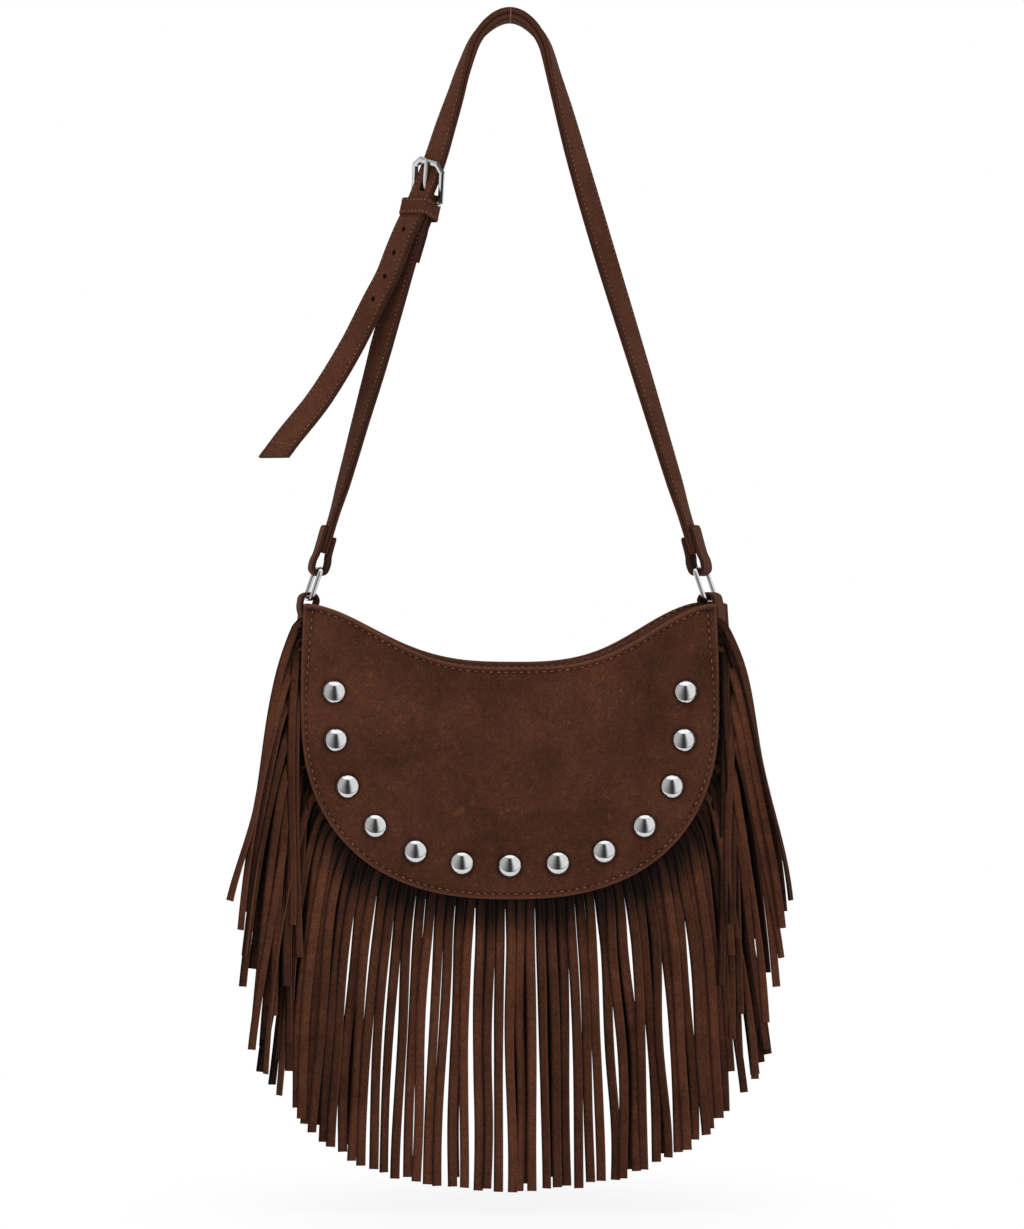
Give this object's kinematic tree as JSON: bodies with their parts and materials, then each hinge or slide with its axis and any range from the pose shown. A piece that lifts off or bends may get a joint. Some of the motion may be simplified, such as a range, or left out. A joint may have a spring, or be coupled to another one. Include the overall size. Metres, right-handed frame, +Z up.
{
  "type": "fringed shoulder bag",
  "caption": "Half-moon suede shoulder bag with a long cut fringe, domed studs along its edge, ring-hung strap and side buckle.",
  "frame": {"origin": "hang point: the underside of the strap's crown, where a hook or shoulder carries it", "axes": "+Z up, -Y out of the bag's front, +X to the right of someone facing the front"},
  "size_m": [0.3896, 0.0718, 0.8283],
  "materials": {
    "suede": "matt brushed suede",
    "strap_leather": "matt",
    "facing_leather": "smooth matt",
    "lining_cloth": "woven",
    "polished_steel": "polished"
  },
  "bodies": {
    "bag": {"front_panel": "suede", "back_panel": "suede", "gusset": "suede", "fringe_bottom": "suede", "fringe_left": "suede", "fringe_right": "suede", "strap_long": "strap_leather", "strap_short": "strap_leather", "strap_keeper": "strap_leather", "left_strap_tab": "strap_leather", "right_strap_tab": "strap_leather", "left_bag_tab": "strap_leather", "right_bag_tab": "strap_leather", "front_facing": "facing_leather", "back_facing": "facing_leather", "lining": "lining_cloth", "snap_stud": "polished_steel", "snap_socket": "polished_steel", "stud_01": "polished_steel", "stud_02": "polished_steel", "stud_03": "polished_steel", "stud_04": "polished_steel", "stud_05": "polished_steel", "stud_06": "polished_steel", "stud_07": "polished_steel", "stud_08": "polished_steel", "stud_09": "polished_steel", "stud_10": "polished_steel", "stud_11": "polished_steel", "stud_12": "polished_steel", "stud_13": "polished_steel"},
    "ring_on_left": {"left_ring": "polished_steel"},
    "ring_on_right": {"right_ring": "polished_steel"},
    "frame_of_buckle": {"buckle_frame": "polished_steel"},
    "prong_of_buckle": {"buckle_prong": "polished_steel"}
  },
  "joints": [
    {"name": "left_ring_rock", "type": "hinge", "parent": "bag", "child": "ring_on_left", "pos_m": [-0.13435, 0.00146, -0.38327], "axis": [-0.2079, 0.9781, 0], "range_deg": [-6, 2]},
    {"name": "right_ring_rock", "type": "hinge", "parent": "bag", "child": "ring_on_right", "pos_m": [0.13327, 0.00245, -0.38323], "axis": [0.342, 0.9397, 0], "range_deg": [-2, 6]},
    {"name": "buckle_frame_tilt", "type": "hinge", "parent": "bag", "child": "frame_of_buckle", "pos_m": [-0.05752, 0.00473, -0.12631], "axis": [0.5721, -0.7875, -0.229], "range_deg": [0, 8]},
    {"name": "buckle_prong_lift", "type": "hinge", "parent": "frame_of_buckle", "child": "prong_of_buckle", "pos_m": [-0.05752, 0.00473, -0.12631], "axis": [0.5721, -0.7875, -0.229], "range_deg": [0, 6]}
  ]
}
